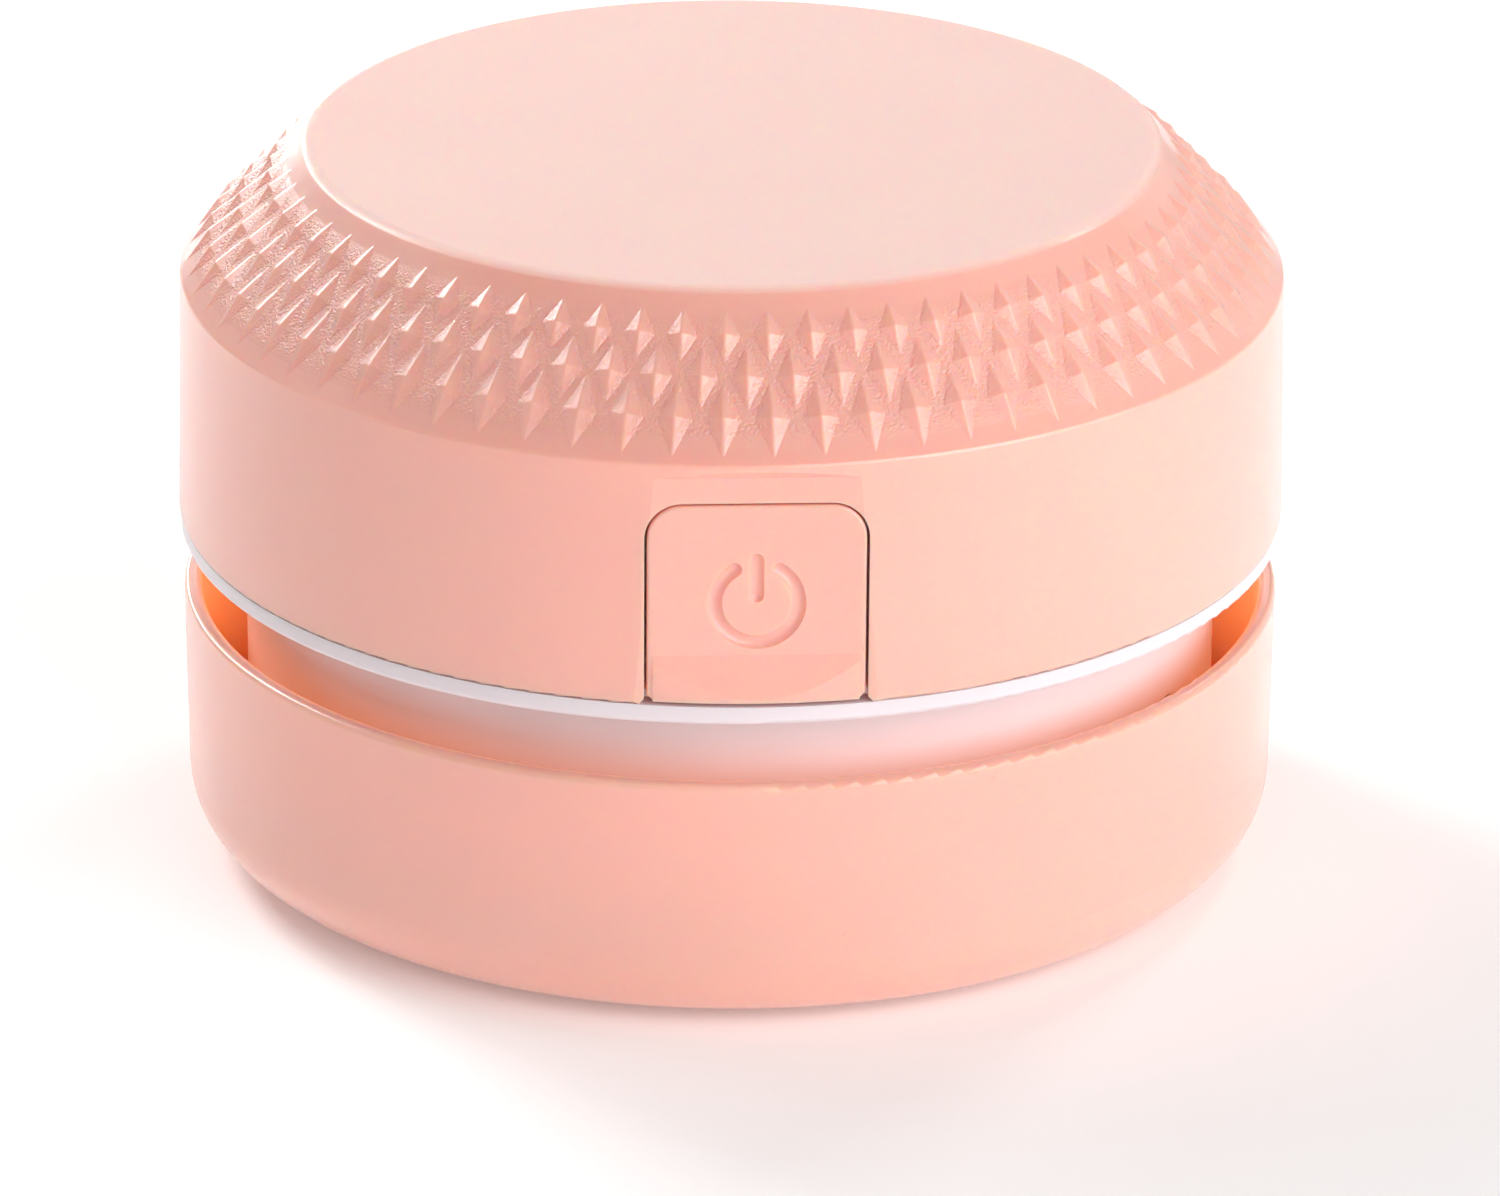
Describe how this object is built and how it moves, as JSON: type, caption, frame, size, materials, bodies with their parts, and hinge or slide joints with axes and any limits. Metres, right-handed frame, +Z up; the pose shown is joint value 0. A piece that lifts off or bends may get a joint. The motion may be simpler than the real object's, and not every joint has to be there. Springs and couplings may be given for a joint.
{
  "type": "desktop vacuum cleaner",
  "caption": "Round desktop vacuum cleaner with a knurled dome, a front push button, an air outlet slot all round and a twist-off dust cup with a brush-edged suction mouth.",
  "frame": {"origin": "centre of the circle that the feet stand on, on the desk top", "axes": "+Z up along the fan's axis, -Y out of the push button, +X to the right as seen from the button"},
  "size_m": [0.0866, 0.0865, 0.0574],
  "materials": {
    "peach_plastic": "glossy moulded ABS",
    "white_plastic": "satin moulded ABS",
    "seal_rubber": "soft silicone",
    "brush_plastic": "satin moulded plastic",
    "bristle_nylon": "nylon strands",
    "filter_plastic": "satin moulded plastic",
    "filter_net": "fine woven net",
    "filter_foam": "open-cell foam",
    "impeller_plastic": "satin moulded plastic",
    "motor_steel": "plated steel",
    "motor_bronze": "sintered bronze",
    "motor_core": "stacked sheet steel",
    "motor_magnet": "ferrite",
    "motor_cap_plastic": "moulded plastic",
    "bracket_plastic": "moulded plastic",
    "screw_steel": "zinc-plated steel",
    "contact_metal": "plated brass",
    "cell_wrap": "shrink wrap over a steel can",
    "board_green": "solder mask over glass-fibre",
    "black_plastic": "moulded plastic",
    "socket_steel": "stamped steel",
    "clear_plastic": "clear moulded plastic",
    "lead_red": "lead insulation",
    "lead_black": "lead insulation"
  },
  "bodies": {
    "dust_cup_unit": {"dust_cup": "peach_plastic", "brush_ring": "brush_plastic", "brush_bristles": "bristle_nylon"},
    "seal": {"cup_seal": "seal_rubber"},
    "upper_unit": {"upper_housing": "peach_plastic", "fan_housing": "white_plastic", "filter_frame": "filter_plastic", "filter_mesh": "filter_net", "filter_pad": "filter_foam", "motor_magnets": "motor_magnet", "motor_can": "motor_steel", "motor_bush": "motor_bronze", "motor_end_cap": "motor_cap_plastic", "motor_terminals": "contact_metal", "motor_bracket": "bracket_plastic", "motor_screws": "screw_steel", "bracket_screws": "screw_steel", "housing_screws": "screw_steel", "battery_cell": "cell_wrap", "battery_cradle": "bracket_plastic", "battery_tabs": "contact_metal", "control_board": "board_green", "control_chips": "black_plastic", "usb_socket": "socket_steel", "usb_tongue": "black_plastic", "light_pipe": "clear_plastic", "charge_led": "clear_plastic", "switch_bracket": "bracket_plastic", "switch_board": "board_green", "switch_body": "black_plastic", "motor_leads": "lead_red", "battery_leads": "lead_red", "switch_lead": "lead_black"},
    "button": {"power_button": "peach_plastic"},
    "plunger": {"switch_plunger": "black_plastic"},
    "rotor": {"impeller": "impeller_plastic", "motor_shaft": "motor_steel", "motor_armature": "motor_core"}
  },
  "joints": [
    {"name": "cup_twist", "type": "hinge", "parent": "dust_cup_unit", "child": "seal", "pos_m": [0, 0, 0.0189], "axis": [0, 0, 1], "range_deg": [0, 90]},
    {"name": "upper_lift", "type": "slide", "parent": "seal", "child": "upper_unit", "axis": [0, 0, 1], "range_m": [0, 0.0261]},
    {"name": "button_press", "type": "slide", "parent": "upper_unit", "child": "button", "axis": [0, 1, 0], "range_m": [0, 0.001], "stiffness_N_per_m": 150, "springref_m": -0.002},
    {"name": "plunger_press", "type": "slide", "parent": "upper_unit", "child": "plunger", "axis": [0, 1, 0], "range_m": [0, 0.001]},
    {"name": "fan_spin", "type": "hinge", "parent": "upper_unit", "child": "rotor", "pos_m": [0, 0, 0.03], "axis": [0, 0, 1], "continuous": true}
  ],
  "couplings": [
    {"joint": "upper_lift", "follows": "cup_twist", "m_per_rad": 0.016616},
    {"joint": "plunger_press", "follows": "button_press", "ratio": 1}
  ]
}
